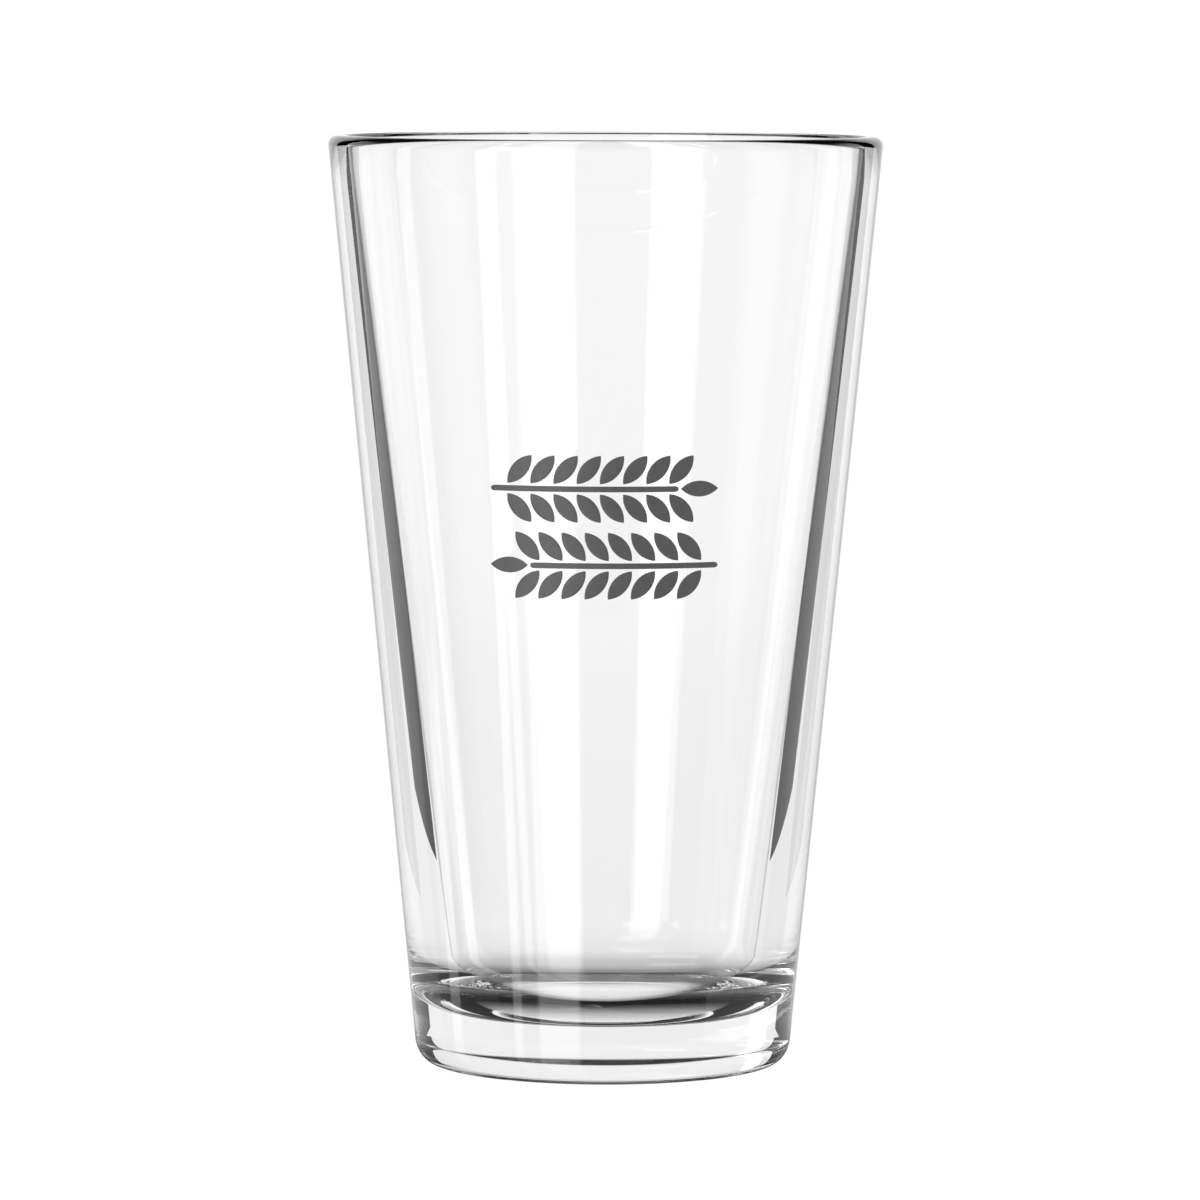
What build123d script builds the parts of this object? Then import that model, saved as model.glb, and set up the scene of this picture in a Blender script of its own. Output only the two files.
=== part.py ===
from build123d import *
from math import atan, degrees, hypot
import os

# Pint glass: a straight-sided, heavy-bottomed 16 US fl oz bar glass with a two-row enamel print.
# Millimetres, +Z up. The origin is the centre of the base, on the plane that the glass stands on.
# The print faces -Y.

# Outside of the glass
height = 149.2
rim_diameter = 88.9
base_diameter = 60.8  # across the foot, at the height of the heel
heel_width = 3.2  # the heel is a quarter of an ellipse, taller than it is wide
heel_height = 4.5
outer_lip_radius = 1.5

# Inside of the glass
rim_wall = 3.1  # at the height where the outside of the wall is widest
inner_lip_radius = 0.45
inner_taper = 0.1275  # radius gained per millimetre of height
base_thickness = 8.2  # on the axis, from the standing plane to the floor
floor_rise = 1.4  # the floor is a shallow bowl, this much higher at its edge
floor_corner_radius = 12.0

# Underside: a shallow dome inside the flat ring that the glass stands on
recess_radius = 24.3
recess_depth = 1.1

# Print: two rows, each an ear of barley lying on its side
print_height = 89.0  # middle of the gap between the rows
print_width = 35.4
row_height = 10.5
row_gap = 1.55
film_thickness = 0.06
grain_length = 5.8
grain_width = 2.5
grain_lean = 50.0  # degrees between a grain and the stem
grain_pitch = 3.6
grain_pairs = 8
stem_width = 0.9
ink_gap = 0.35  # bare glass between the stem and each grain

# The wall is straight from the top of the heel to the bottom of the lip's round, where it is widest.
widest_height = height - outer_lip_radius
rim_radius = rim_diameter / 2
outer_taper = (rim_radius - base_diameter / 2) / (widest_height - heel_height)


def outer_radius(z):
    """Radius of the outside of the wall at a height."""
    return rim_radius - outer_taper * (widest_height - z)


def inner_radius(z):
    """Radius of the inside of the wall at a height."""
    return rim_radius - rim_wall - inner_taper * (widest_height - z)


def round_corner(section, corner, radius):
    """Round the section's corner that lies at a point."""
    vertex = section.vertices().sort_by_distance(corner)[0]
    return fillet(vertex, radius)


def make_heel():
    """The heel's arc, from the standing plane up to where it meets the wall smoothly."""
    lean = outer_taper * heel_height
    centre = (outer_radius(heel_height) - hypot(heel_width, lean), heel_height)
    arc_size = degrees(atan(heel_width / lean))
    return EllipticalCenterArc(centre, heel_width, heel_height, start_angle=-90, arc_size=arc_size)


def make_glass():
    """The glass in one piece: its half section turned about the axis."""
    outer_lip = Vector(outer_radius(height), height)
    inner_lip = Vector(inner_radius(height), height)
    floor_edge_height = base_thickness + floor_rise
    floor_edge = Vector(inner_radius(floor_edge_height), floor_edge_height)
    with BuildSketch() as section:
        with BuildLine():
            recess = TangentArc((0, recess_depth), (recess_radius, 0), tangent=(1, 0))
            heel = make_heel()
            Line(recess @ 1, heel @ 0)
            Polyline(heel @ 1, outer_lip, inner_lip, floor_edge)
            floor = TangentArc((0, base_thickness), floor_edge, tangent=(1, 0))
            Line(floor @ 0, recess @ 0)
        make_face()
        round_corner(section, outer_lip, outer_lip_radius)
        round_corner(section, inner_lip, inner_lip_radius)
        round_corner(section, floor_edge, floor_corner_radius)
    return revolve(Plane.XZ * section.sketch, Axis.Z)


def grain_outline():
    """A leaf between two arcs, lying along +X with its base at the origin."""
    tip = (grain_length, 0)
    middle = grain_length / 2
    upper_edge = ThreePointArc((0, 0), (middle, grain_width / 2), tip)
    lower_edge = ThreePointArc(tip, (middle, -grain_width / 2), (0, 0))
    return make_face([upper_edge, lower_edge])


def ear_islands():
    """The separate flat outlines of one ear, lying along +X with its middle at the origin."""
    grain = grain_outline()
    tip_base = print_width / 2 - grain_length
    islands = [Pos(tip_base, 0) * grain]

    stem_start = -print_width / 2
    stem_end = tip_base - ink_gap
    stem_length = stem_end - stem_start
    islands.append(Pos(stem_start + stem_length / 2, 0) * SlotOverall(stem_length, stem_width))

    last_pair = tip_base - grain_pitch / 2
    rise = stem_width / 2 + ink_gap
    for pair in range(grain_pairs):
        along = last_pair - pair * grain_pitch
        islands.append(Pos(along, rise) * Rot(0, 0, grain_lean) * grain)
        islands.append(Pos(along, -rise) * Rot(0, 0, -grain_lean) * grain)
    return islands


def film_sleeve(low, high):
    """A sleeve as thick as the ink, lying on the wall between two heights."""
    wall_low = Vector(outer_radius(low), low)
    wall_high = Vector(outer_radius(high), high)
    outwards = Vector(film_thickness, 0)
    section = make_face(Polyline(wall_low, wall_high, wall_high + outwards, wall_low + outwards, close=True))
    return revolve(Plane.XZ * section, Axis.Z)


def make_ear(middle_height, turn):
    """One printed row: the ear's islands laid on the front of the wall, turned about their middle."""
    sleeve = film_sleeve(middle_height - row_height, middle_height + row_height)
    front = Plane.XZ * Pos(0, middle_height) * Rot(0, 0, turn)
    films = []
    for island in ear_islands():
        block = extrude(front * island, amount=rim_radius)
        films += (block & sleeve).solids()
    return Compound(children=films)


row_offset = (row_height + row_gap) / 2
nodes = {
    "glass_body": make_glass(),
    "print_upper_ear": make_ear(print_height + row_offset, 0),
    "print_lower_ear": make_ear(print_height - row_offset, 180),
}

os.makedirs("parts", exist_ok=True)
for name, shape in nodes.items():
    export_step(shape, f"parts/{name}.step")
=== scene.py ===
import math

import bmesh
import bpy
from mathutils import Matrix, Vector, noise


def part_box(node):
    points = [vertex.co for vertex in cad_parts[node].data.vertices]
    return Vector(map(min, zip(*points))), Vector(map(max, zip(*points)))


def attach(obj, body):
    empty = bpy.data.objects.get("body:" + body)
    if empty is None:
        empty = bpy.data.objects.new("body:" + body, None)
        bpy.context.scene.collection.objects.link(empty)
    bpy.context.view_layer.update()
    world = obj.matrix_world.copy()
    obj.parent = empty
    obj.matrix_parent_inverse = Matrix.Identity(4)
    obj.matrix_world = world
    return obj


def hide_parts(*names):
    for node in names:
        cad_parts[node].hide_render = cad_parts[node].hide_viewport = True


# A pint glass with a two-row enamel print, standing in a bright-field studio set.
# Shapes are worked out in millimetres and become metres as each mesh is made. The print faces -Y.

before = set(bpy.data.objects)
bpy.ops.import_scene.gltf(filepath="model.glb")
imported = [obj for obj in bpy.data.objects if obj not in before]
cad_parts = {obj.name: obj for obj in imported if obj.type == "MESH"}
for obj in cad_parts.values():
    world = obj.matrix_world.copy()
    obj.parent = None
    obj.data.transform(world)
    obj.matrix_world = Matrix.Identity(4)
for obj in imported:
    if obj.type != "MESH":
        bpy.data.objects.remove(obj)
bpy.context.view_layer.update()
scene = bpy.context.scene
MM = 0.001

# ---- Sizes of the glass ----
glass_low, glass_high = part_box("glass_body")
height = glass_high.z / MM
rim_radius = glass_high.x / MM
base_radius = 30.4  # at the height of the heel
heel_width = 3.2
heel_height = 4.5
outer_lip_radius = 1.5
rim_wall = 3.1  # at the height where the outside of the wall is widest
inner_lip_radius = 0.45
inner_taper = 0.1275
base_thickness = 8.2
floor_rise = 1.4
floor_corner_radius = 12.0
recess_radius = 24.3
recess_depth = 1.1
segments = 640  # round the glass
widest_height = height - outer_lip_radius
outer_taper = (rim_radius - base_radius) / (widest_height - heel_height)
outer_lean = math.degrees(math.atan(outer_taper))
inner_lean = math.degrees(math.atan(inner_taper))

# ---- Sizes of the print: each row is an ear of barley lying on its side ----
film_thickness = 0.06
film_edge_share = 0.35  # how much of the thickness is left at the edge of an island
contact_depth = 0.02  # the fired film is fused this far into the glass, so no air lies behind it
grain_length = 5.8
grain_width = 2.5
grain_lean = 50.0
grain_pitch = 3.6
grain_pairs = 8
stem_width = 0.9
ink_gap = 0.35


def outer_radius(z):
    """Radius of the outside of the wall at a height."""
    return rim_radius - outer_taper * (widest_height - z)


def inner_radius(z):
    """Radius of the inside of the wall at a height."""
    return rim_radius - rim_wall - inner_taper * (widest_height - z)


# ---- Meshes ----
def new_piece(name, vertices, faces, material):
    """A smooth mesh object from vertices in millimetres."""
    mesh = bpy.data.meshes.new(name)
    mesh.from_pydata([Vector(v) * MM for v in vertices], [], faces)
    builder = bmesh.new()
    builder.from_mesh(mesh)
    bmesh.ops.remove_doubles(builder, verts=builder.verts, dist=0.0001 * MM)
    bmesh.ops.recalc_face_normals(builder, faces=builder.faces)
    builder.to_mesh(mesh)
    builder.free()
    mesh.polygons.foreach_set("use_smooth", [True] * len(mesh.polygons))
    mesh.materials.append(material)
    piece = bpy.data.objects.new(name, mesh)
    scene.collection.objects.link(piece)
    return piece


def arc(centre, radius, start, end, steps):
    """Points along an arc, from one angle to another in degrees."""
    points = []
    for step in range(steps + 1):
        angle = math.radians(start + (end - start) * step / steps)
        points.append((centre[0] + radius * math.cos(angle), centre[1] + radius * math.sin(angle)))
    return points


def straight(start, end, steps):
    """Points spaced evenly between two points, without the two ends."""
    points = []
    for step in range(1, steps):
        share = step / steps
        points.append((start[0] + (end[0] - start[0]) * share, start[1] + (end[1] - start[1]) * share))
    return points


def underside():
    """The shallow dome under the glass, from the axis outwards."""
    sphere = (recess_radius**2 + recess_depth**2) / (2 * recess_depth)
    edge = math.degrees(math.atan2(sphere - recess_depth, recess_radius))
    return arc((0, recess_depth - sphere), sphere, 90, edge, 16)


def heel():
    """The round between the standing ring and the wall: a quarter of an ellipse, taller than it is wide."""
    lean = outer_taper * heel_height
    centre = outer_radius(heel_height) - math.hypot(heel_width, lean)
    wall_end = -math.degrees(math.atan2(lean, heel_width))
    unit_arc = arc((0, 0), 1, -90, wall_end, 18)
    return [(centre + heel_width * across, heel_height * (1 + up)) for across, up in unit_arc]


def lip():
    """The two rounds of the rim, from the outside of the wall to the inside."""
    outer_centre = outer_radius(widest_height) - outer_lip_radius / math.cos(math.radians(outer_lean))
    inner_round_height = height - inner_lip_radius
    inner_centre = inner_radius(inner_round_height) + inner_lip_radius / math.cos(math.radians(inner_lean))
    outer_round = arc((outer_centre, widest_height), outer_lip_radius, -outer_lean, 90, 14)
    inner_round = arc((inner_centre, inner_round_height), inner_lip_radius, 90, 180 - inner_lean, 10)
    return outer_round + inner_round


def drink_floor():
    """The corner between the wall and the floor, then the floor's shallow bowl, from the wall to the axis."""
    edge_radius = inner_radius(base_thickness + floor_rise)
    bowl = (edge_radius**2 + floor_rise**2) / (2 * floor_rise)
    bowl_centre = base_thickness + bowl
    # The corner's centre lies its radius away from the wall's line and from the bowl's circle.
    offset = inner_radius(0) - floor_corner_radius / math.cos(math.radians(inner_lean))
    square = 1 + inner_taper**2
    half_linear = offset * inner_taper - bowl_centre
    constant = offset**2 + bowl_centre**2 - (bowl - floor_corner_radius) ** 2
    centre_height = (-half_linear - math.sqrt(half_linear**2 - square * constant)) / square
    centre = (offset + inner_taper * centre_height, centre_height)
    meeting = math.degrees(math.atan2(centre_height - bowl_centre, centre[0]))
    corner_round = arc(centre, floor_corner_radius, -inner_lean, meeting, 20)
    return corner_round + arc((0, bowl_centre), bowl, meeting, -90, 12)


def glass_outline():
    """Half the section as (radius, height) points, from the axis underneath, over the rim, to the floor."""
    recess, foot_round, rim, cavity = underside(), heel(), lip(), drink_floor()
    ring = straight(recess[-1], foot_round[0], 8)
    outside = straight(foot_round[-1], rim[0], 24)
    inside = straight(rim[-1], cavity[0], 24)
    return recess + ring + foot_round + outside + rim + inside + cavity


def turned(outline):
    """Vertices and faces of an outline of (radius, height) points turned about Z."""
    vertices = []
    for radius, z in outline:
        for segment in range(segments):
            angle = 2 * math.pi * segment / segments
            vertices.append((radius * math.cos(angle), radius * math.sin(angle), z))
    faces = []
    for ring in range(len(outline) - 1):
        for segment in range(segments):
            following = (segment + 1) % segments
            near, far = ring * segments, (ring + 1) * segments
            faces.append((near + segment, near + following, far + following, far + segment))
    return vertices, faces


# ---- The small unevenness of pressed glass, in millimetres ----
stipple_height = 0.12
stipple_size = 0.9
wave_height = 0.03
wave_length = 14.0
calm_height = 40.0  # the wave has died away at this height
touching = 0.001  # points this close to a surface are on it


def mould(glass):
    """Stipples the standing ring, and gives the floor and the lowest part of the inner wall a gentle wave."""
    normals = [vertex.normal.copy() for vertex in glass.data.vertices]
    for vertex, normal in zip(glass.data.vertices, normals):
        place = vertex.co / MM
        radius = math.hypot(place.x, place.y)
        if place.z < touching and radius > recess_radius:
            vertex.co.z += stipple_height * max(0.0, noise.noise(place / stipple_size)) * MM
        elif base_thickness - touching < place.z < calm_height and radius < inner_radius(place.z) + touching:
            share = 1 - (place.z - base_thickness) / (calm_height - base_thickness)
            vertex.co += normal * wave_height * share * noise.noise(place / wave_length) * MM


# ---- Shader helpers ----
def add_node(tree, kind, inputs=None, **settings):
    """A new shader node. Each input is a value, or an output socket to link from."""
    node = tree.nodes.new(kind)
    for name, value in settings.items():
        setattr(node, name, value)
    for name, value in (inputs or {}).items():
        if isinstance(value, bpy.types.NodeSocket):
            tree.links.new(value, node.inputs[name])
        else:
            node.inputs[name].default_value = value
    return node


def calculate(tree, operation, *values):
    """The output of a Math node."""
    return add_node(tree, "ShaderNodeMath", dict(enumerate(values)), operation=operation).outputs[0]


def remap(tree, value, low, high, to_low=0.0, to_high=1.0, interpolation="LINEAR"):
    """The value moved from one range to another, and kept within it."""
    inputs = {"Value": value, "From Min": low, "From Max": high, "To Min": to_low, "To Max": to_high}
    return add_node(tree, "ShaderNodeMapRange", inputs, interpolation_type=interpolation).outputs["Result"]


def grey_ramp(tree, factor, stops):
    """A colour ramp of greys through (position, brightness) stops."""
    node = add_node(tree, "ShaderNodeValToRGB", {"Fac": factor})
    elements = node.color_ramp.elements
    while len(elements) < len(stops):
        elements.new(0.5)
    for element, (position, brightness) in zip(elements, stops):
        element.position = position
        element.color = (brightness, brightness, brightness, 1)
    return node.outputs["Color"]


def noise_texture(tree, place, scale, detail):
    """The value of a noise texture."""
    inputs = {"Vector": place, "Scale": scale, "Detail": detail}
    return add_node(tree, "ShaderNodeTexNoise", inputs).outputs["Fac"]


def new_material(name):
    """An empty node material and its output node."""
    material = bpy.data.materials.new(name)
    material.use_nodes = True
    material.node_tree.nodes.clear()
    return material, add_node(material.node_tree, "ShaderNodeOutputMaterial")


def clear_glass():
    """Clear soda-lime glass: painted shade darkens its colour and its reflections along its outline, faintly
    grey where deep, scuffed where it stands.
    """
    material, output = new_material("clear_glass")
    tree = material.node_tree
    facing = add_node(tree, "ShaderNodeLayerWeight", {"Blend": 0.5}).outputs["Facing"]
    # Painted shade: by the angle at which the surface is seen, the colour and the tint of the reflections turn
    # dark toward the outline.
    edge = grey_ramp(tree, facing, [(0.7, 1.0), (0.77, 0.86), (0.84, 0.86), (0.88, 0.0)])
    place = add_node(tree, "ShaderNodeTexCoord").outputs["Object"]
    climb = add_node(tree, "ShaderNodeSeparateXYZ", {"Vector": place}).outputs["Z"]
    on_ring = remap(tree, climb, 0.0, 2 * stipple_height * MM, 1, 0)
    scuffs = noise_texture(tree, place, 1500.0, 2.0)
    roughness = calculate(tree, "MULTIPLY", on_ring, remap(tree, scuffs, 0.5, 0.7, 0.0, 0.4))
    surface = add_node(tree, "ShaderNodeBsdfPrincipled", {
        "Base Color": edge, "Specular Tint": edge, "Roughness": roughness, "IOR": 1.52,
        "Transmission Weight": 1.0})
    depth = add_node(tree, "ShaderNodeVolumeAbsorption", {"Color": (0, 0, 0, 1), "Density": 1.76})
    tree.links.new(surface.outputs["BSDF"], output.inputs["Surface"])
    tree.links.new(depth.outputs["Volume"], output.inputs["Volume"])
    return material


def fired_enamel():
    """Satin dark grey enamel ink."""
    material, output = new_material("fired_enamel")
    tree = material.node_tree
    place = add_node(tree, "ShaderNodeTexCoord").outputs["Object"]
    cloud = noise_texture(tree, place, 900.0, 4.0)
    grain = noise_texture(tree, place, 6000.0, 2.0)
    colour = grey_ramp(tree, cloud, [(0.3, 0.078), (0.7, 0.088)])
    roughness = remap(tree, cloud, 0.3, 0.7, 0.34, 0.5)
    bump = add_node(tree, "ShaderNodeBump", {"Height": grain, "Strength": 0.15, "Distance": 0.01 * MM})
    surface = add_node(tree, "ShaderNodeBsdfPrincipled", {
        "Base Color": colour, "Roughness": roughness, "IOR": 1.5, "Normal": bump.outputs["Normal"]})
    tree.links.new(surface.outputs["BSDF"], output.inputs["Surface"])
    return material


# ---- The glass ----
def make_glass():
    """The glass in one closed piece."""
    vertices, faces = turned(glass_outline())
    glass = new_piece("glass", vertices, faces, clear_glass())
    mould(glass)
    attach(glass, "root")
    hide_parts("glass_body")
    glass.visible_diffuse = False
    glass.visible_shadow = False


# ---- The print ----
def grain_half_width(along):
    """Half the width of a grain, at a distance along it: a leaf between two arcs."""
    sagitta = grain_width / 2
    half_length = grain_length / 2
    radius = (half_length**2 + sagitta**2) / (2 * sagitta)
    return math.sqrt(radius**2 - (along - half_length) ** 2) - (radius - sagitta)


def stem_half_width(along, length):
    """Half the width of the stem, at a distance along it: a slot with round ends."""
    cap = stem_width / 2
    into_cap = max(0.0, cap - along, cap - (length - along))
    return math.sqrt(max(0.0, cap**2 - into_cap**2))


def ear_islands(print_width):
    """The islands of one ear, lying along +X with its middle at 0: start, turn, length and half-width each."""
    tip_base = print_width / 2 - grain_length
    stem_start = -print_width / 2
    stem_length = tip_base - ink_gap - stem_start
    islands = [
        ((tip_base, 0), 0, grain_length, grain_half_width),
        ((stem_start, 0), 0, stem_length, lambda along: stem_half_width(along, stem_length)),
    ]
    rise = stem_width / 2 + ink_gap
    for pair in range(grain_pairs):
        along = tip_base - grain_pitch / 2 - pair * grain_pitch
        islands.append(((along, rise), grain_lean, grain_length, grain_half_width))
        islands.append(((along, -rise), -grain_lean, grain_length, grain_half_width))
    return islands


def on_wall(x, z, lift):
    """The point on the front of the wall, seen square on, and lifted off it."""
    radius = outer_radius(z)
    y = -math.sqrt(radius**2 - x**2)
    scale = (radius + lift) / radius
    return (x * scale, y * scale, z)


def film(island, placing, steps_along, steps_across):
    """Vertices and faces of one island of ink: domed outside, fused into the glass inside."""
    (start_x, start_y), turn, length, half_width = island
    laid = placing @ Matrix.Translation((start_x, start_y, 0)) @ Matrix.Rotation(math.radians(turn), 4, "Z")
    outside, inside = [], []
    for i in range(steps_along + 1):
        along = length * (1 - math.cos(math.pi * i / steps_along)) / 2
        for j in range(steps_across + 1):
            across = math.sin(math.pi * (j / steps_across - 0.5))
            point = laid @ Vector((along, across * half_width(along), 0))
            rim_distance = half_width(along) * (1 - abs(across))
            swell = min(1.0, rim_distance / (film_thickness * 2))
            lift = film_thickness * (film_edge_share + (1 - film_edge_share) * swell)
            outside.append(on_wall(point.x, point.y, lift))
            inside.append(on_wall(point.x, point.y, -contact_depth))
    row = steps_across + 1
    count = len(outside)
    faces = []
    for i in range(steps_along):
        for j in range(steps_across):
            corner = i * row + j
            quad = (corner, corner + 1, corner + 1 + row, corner + row)
            faces.append(quad)
            faces.append(tuple(count + index for index in reversed(quad)))
    for i in range(steps_along):
        for corner in (i * row, i * row + steps_across):
            faces.append((corner, corner + row, corner + row + count, corner + count))
    return outside + inside, faces


def make_ear(name, node, turn, material):
    """One printed row, in the place of its CAD node."""
    low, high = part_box(node)
    print_width = (high.x - low.x) / MM
    middle = (high.z + low.z) / 2 / MM
    placing = Matrix.Translation((0, middle, 0)) @ Matrix.Rotation(math.radians(turn), 4, "Z")
    vertices, faces = [], []
    for island in ear_islands(print_width):
        island_vertices, island_faces = film(island, placing, 24, 8)
        faces += [tuple(len(vertices) + index for index in face) for face in island_faces]
        vertices += island_vertices
    ear = new_piece(name, vertices, faces, material)
    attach(ear, "root")
    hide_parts(node)


# ---- Camera ----
camera_distance = 1.146
camera_height = 0.1682
aim = Vector((-0.00066, 0, 0.0746))
camera_roll = 0.19
focal_length = 214.3


def make_camera():
    """A long lens a little above the rim."""
    data = bpy.data.cameras.new("camera")
    data.lens = focal_length
    data.clip_start = 0.01
    data.clip_end = 100
    camera = bpy.data.objects.new("camera", data)
    scene.collection.objects.link(camera)
    camera.location = (0, -camera_distance, camera_height)
    looking = (aim - camera.location).to_track_quat("-Z", "Y").to_matrix()
    camera.rotation_euler = (looking @ Matrix.Rotation(math.radians(camera_roll), 3, "Z")).to_euler()
    scene.camera = camera
    return camera


# ---- Studio ----
# The set turns with the camera. Azimuths are in degrees: 0 is behind the glass, positive is to its right,
# 180 is behind the camera. Brightness 1 is white in the picture.
white = 1.06
black = 0.01
room = 0.35
softbox = 2.9
backdrop = 1.04
edge_blur = 1.6  # degrees over which one light turns into the next
brightest = 4.0

# Each ring goes once round the glass: the azimuth at which each stretch starts, and its brightness.
upper_ring = [
    (-180, room), (-158, softbox), (-133, room), (-64, backdrop), (-48, 2.2), (-40, backdrop), (64, room)]
lower_ring = [
    (-180, room), (-166, softbox), (-141, 0.6), (-130, softbox), (-124.5, room), (-115, 0.6), (-65, 0.95),
    (-50, 0.9), (-22, 1.0), (22, 0.85), (50, 0.9), (115, room)]
lower_ring_top = -9
upper_ring_bottom = -6
side_light = (-85, -75, 1.6)  # from one azimuth to another, and how much brighter than the lower ring
side_light_top = -12
side_light_full = -13
ceiling_start = 20
ceiling_end = 32
ceiling_share = 0.04


def make_turntable(camera):
    """The empty that the set is parented to: its -Y side always faces the camera."""
    turntable = bpy.data.objects.new("turntable", None)
    scene.collection.objects.link(turntable)
    follow = turntable.constraints.new("LOCKED_TRACK")
    follow.target = camera
    follow.track_axis = "TRACK_NEGATIVE_Y"
    follow.lock_axis = "LOCK_Z"
    return turntable


def ring_of_light(tree, turn, ring):
    """A ring's brightness, as a share of the brightest, at a turn from 0 to 1."""
    stops = [(0, ring[0][1] / brightest)]
    for (_, before), (azimuth, after) in zip(ring, ring[1:]):
        stops.append((0.5 + (azimuth - edge_blur / 2) / 360, before / brightest))
        stops.append((0.5 + (azimuth + edge_blur / 2) / 360, after / brightest))
    return grey_ramp(tree, turn, stops)


def sine(degrees):
    """The sine of an angle in degrees."""
    return math.sin(math.radians(degrees))


def side_strip(tree, turn, climb):
    """The extra brightness of the low light on the left, as a share of the brightest."""
    first, last, level = side_light
    starts = remap(tree, turn, 0.5 + first / 360, 0.5 + (first + edge_blur) / 360)
    ends = remap(tree, turn, 0.5 + (last - edge_blur) / 360, 0.5 + last / 360, 1, 0)
    below = remap(tree, climb, sine(side_light_full), sine(side_light_top), level / brightest, 0)
    return calculate(tree, "MULTIPLY", calculate(tree, "MULTIPLY", starts, ends), below)


def studio_light(tree, direction):
    """The set's brightness, as a share of the brightest, in a direction in the turntable's axes."""
    axes = add_node(tree, "ShaderNodeSeparateXYZ", {"Vector": direction}).outputs
    azimuth = calculate(tree, "ARCTAN2", axes["X"], axes["Y"])
    turn = remap(tree, azimuth, -math.pi, math.pi)
    strip = side_strip(tree, turn, axes["Z"])
    ring = ring_of_light(tree, turn, lower_ring)
    lower = add_node(tree, "ShaderNodeVectorMath", {0: ring, 1: strip}).outputs["Vector"]
    upper = ring_of_light(tree, turn, upper_ring)
    rise = remap(tree, axes["Z"], sine(lower_ring_top), sine(upper_ring_bottom), interpolation="SMOOTHSTEP")
    rings = {"Factor": rise, 6: lower, 7: upper}
    around = add_node(tree, "ShaderNodeMix", rings, data_type="RGBA").outputs[2]
    low_sine, high_sine = sine(ceiling_start), sine(ceiling_end)
    ceiling = remap(tree, axes["Z"], low_sine, high_sine, 1, ceiling_share, "SMOOTHSTEP")
    return add_node(tree, "ShaderNodeVectorMath", {0: around, "Scale": ceiling}, operation="SCALE").outputs[0]


def make_world(turntable):
    """Plain white to the camera. Seen in the glass it is the studio: a backdrop, softboxes and a dim room."""
    world = bpy.data.worlds.new("studio")
    scene.world = world
    world.use_nodes = True
    tree = world.node_tree
    tree.nodes.clear()
    place = add_node(tree, "ShaderNodeTexCoord", object=turntable).outputs["Object"]
    direction = add_node(tree, "ShaderNodeVectorMath", {0: place}, operation="NORMALIZE").outputs["Vector"]
    light = studio_light(tree, direction)
    studio = add_node(tree, "ShaderNodeBackground", {"Color": light, "Strength": brightest})
    plain = add_node(tree, "ShaderNodeBackground", {"Color": (1, 1, 1, 1), "Strength": white})
    rays = add_node(tree, "ShaderNodeLightPath").outputs
    plain_rays = calculate(tree, "MAXIMUM", rays["Is Camera Ray"], rays["Is Diffuse Ray"])
    mixed = add_node(tree, "ShaderNodeMixShader", {0: plain_rays, 1: studio.outputs[0], 2: plain.outputs[0]})
    output = add_node(tree, "ShaderNodeOutputWorld")
    tree.links.new(mixed.outputs[0], output.inputs["Surface"])
    world.cycles.sampling_method = "NONE"


def glowing(name, brightness):
    """A plain material that gives off light, and the node that sets its light."""
    material, output = new_material(name)
    tree = material.node_tree
    glow = add_node(tree, "ShaderNodeEmission", {"Strength": brightness})
    tree.links.new(glow.outputs["Emission"], output.inputs["Surface"])
    return material, glow


def stage_sheet(name, corners, material):
    """A flat sheet of the set, with corners in millimetres."""
    sheet = new_piece(name, corners, [(0, 1, 2, 3)], material)
    return sheet


def hide_from_camera(sheet, turntable):
    """Leaves a sheet of the set to be seen only in the glass, and turns it with the camera."""
    sheet.visible_camera = False
    sheet.visible_diffuse = False
    sheet.visible_shadow = False
    sheet.parent = turntable


# The upright black cards: how far out to the side and how far back their two ends stand, in mm.
card_front = (97, 38)
card_back = (121, 115)
card_low = 10
card_high = 300


def make_cards(turntable):
    """A black card on each side, close behind the glass: they draw its dark side lines."""
    material, _ = glowing("black_card", black)
    for side in (1, -1):
        front = (side * card_front[0], card_front[1])
        back = (side * card_back[0], card_back[1])
        corners = [(*back, card_low), (*front, card_low), (*front, card_high), (*back, card_high)]
        hide_from_camera(stage_sheet("card", corners, material), turntable)


# The table's share of the light round the glass, painted shadow of the glass that is darkest under its
# standing ring: the distance from the axis in mm, and the share there.
table_shading = [
    (0, 1.0), (9, 0.9), (14, 0.65), (17, 0.5), (20, 0.22), (22.5, 0.0), (27, 0.0), (33, 0.3),
    (38, 0.5), (47, 0.65), (52, 0.78), (58, 0.92), (70, 0.95), (110, 0.97), (450, 0.97), (600, 1.0)]
table_front = -60
table_height = -0.1
floor_height = -0.2  # just under the table, and both just under the glass
far = 5000


def level_corners(front, z):
    """The corners of a wide level sheet that starts at the front and lies at a height."""
    return [(-far, front, z), (far, front, z), (far, far, z), (-far, far, z)]


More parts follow.
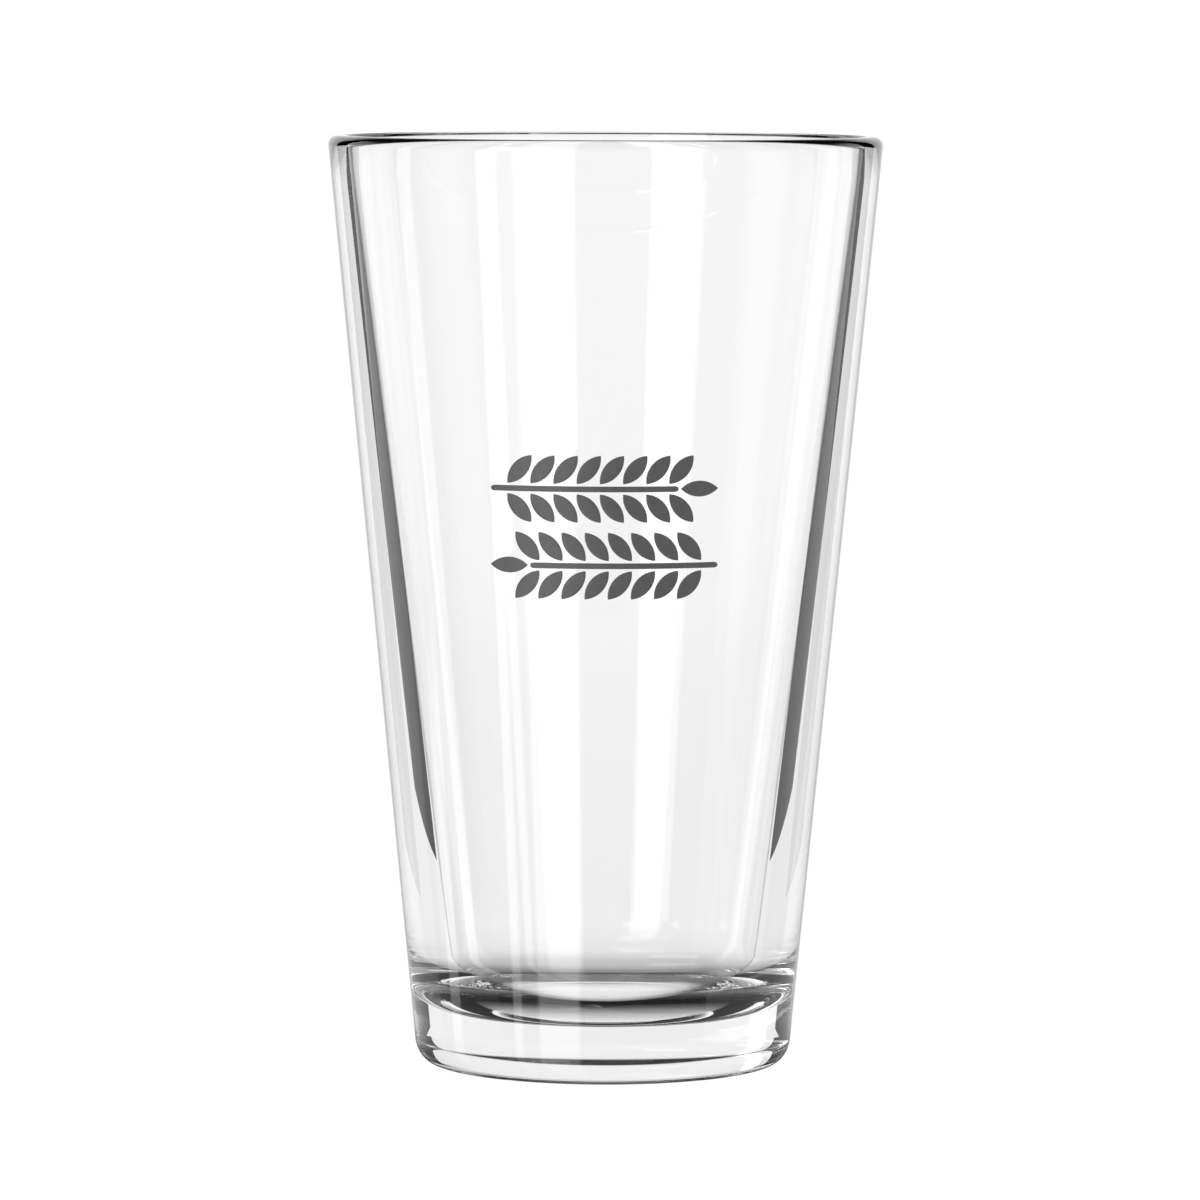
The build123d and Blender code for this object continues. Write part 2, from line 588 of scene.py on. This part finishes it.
def make_table(turntable):
    """The glossy white table as the glass sees it, a glowing sheet of painted light: it shows the set's lower
    ring, with painted shadow round the foot.
    """
    material, glow = glowing("table_painted_light_and_shadow", brightest)
    tree = material.node_tree
    towards_viewer = add_node(tree, "ShaderNodeNewGeometry").outputs["Incoming"]
    reversed_view = {0: towards_viewer, "Scale": -1.0}
    away = add_node(tree, "ShaderNodeVectorMath", reversed_view, operation="SCALE").outputs["Vector"]
    direction = add_node(tree, "ShaderNodeVectorTransform", {"Vector": away},
                         vector_type="VECTOR", convert_from="WORLD", convert_to="OBJECT").outputs["Vector"]
    light = studio_light(tree, direction)
    place = add_node(tree, "ShaderNodeTexCoord").outputs["Object"]
    distance = add_node(tree, "ShaderNodeVectorMath", {0: place}, operation="LENGTH").outputs["Value"]
    reach = table_shading[-1][0]
    share = calculate(tree, "DIVIDE", distance, reach * MM)
    # Painted shadow of the glass on the table, darkest under its standing ring.
    shading = grey_ramp(tree, share, [(radius / reach, level) for radius, level in table_shading])
    lit = add_node(tree, "ShaderNodeVectorMath", {0: light, 1: shading}, operation="MULTIPLY")
    tree.links.new(lit.outputs["Vector"], glow.inputs["Color"])
    hide_from_camera(stage_sheet("table", level_corners(table_front, table_height), material), turntable)


def make_floor():
    """The plain pale floor that the camera sees."""
    material, output = new_material("pale_floor")
    tree = material.node_tree
    paint = add_node(tree, "ShaderNodeBsdfDiffuse", {"Color": (0.97, 0.97, 0.97, 1)})
    tree.links.new(paint.outputs["BSDF"], output.inputs["Surface"])
    floor = stage_sheet("floor", level_corners(-far, floor_height), material)
    floor.visible_glossy = False
    floor.visible_transmission = False


def set_light_paths():
    """Enough bounces for light to cross the thick base many times, and colours shown as they are."""
    scene.view_settings.view_transform = "Standard"
    scene.cycles.max_bounces = 32
    scene.cycles.transmission_bounces = 32
    scene.cycles.glossy_bounces = 16
    scene.cycles.use_denoising = True


make_glass()
enamel = fired_enamel()
make_ear("print_upper", "print_upper_ear", 0, enamel)
make_ear("print_lower", "print_lower_ear", 180, enamel)
turntable = make_turntable(make_camera())
make_world(turntable)
make_cards(turntable)
make_table(turntable)
make_floor()
set_light_paths()
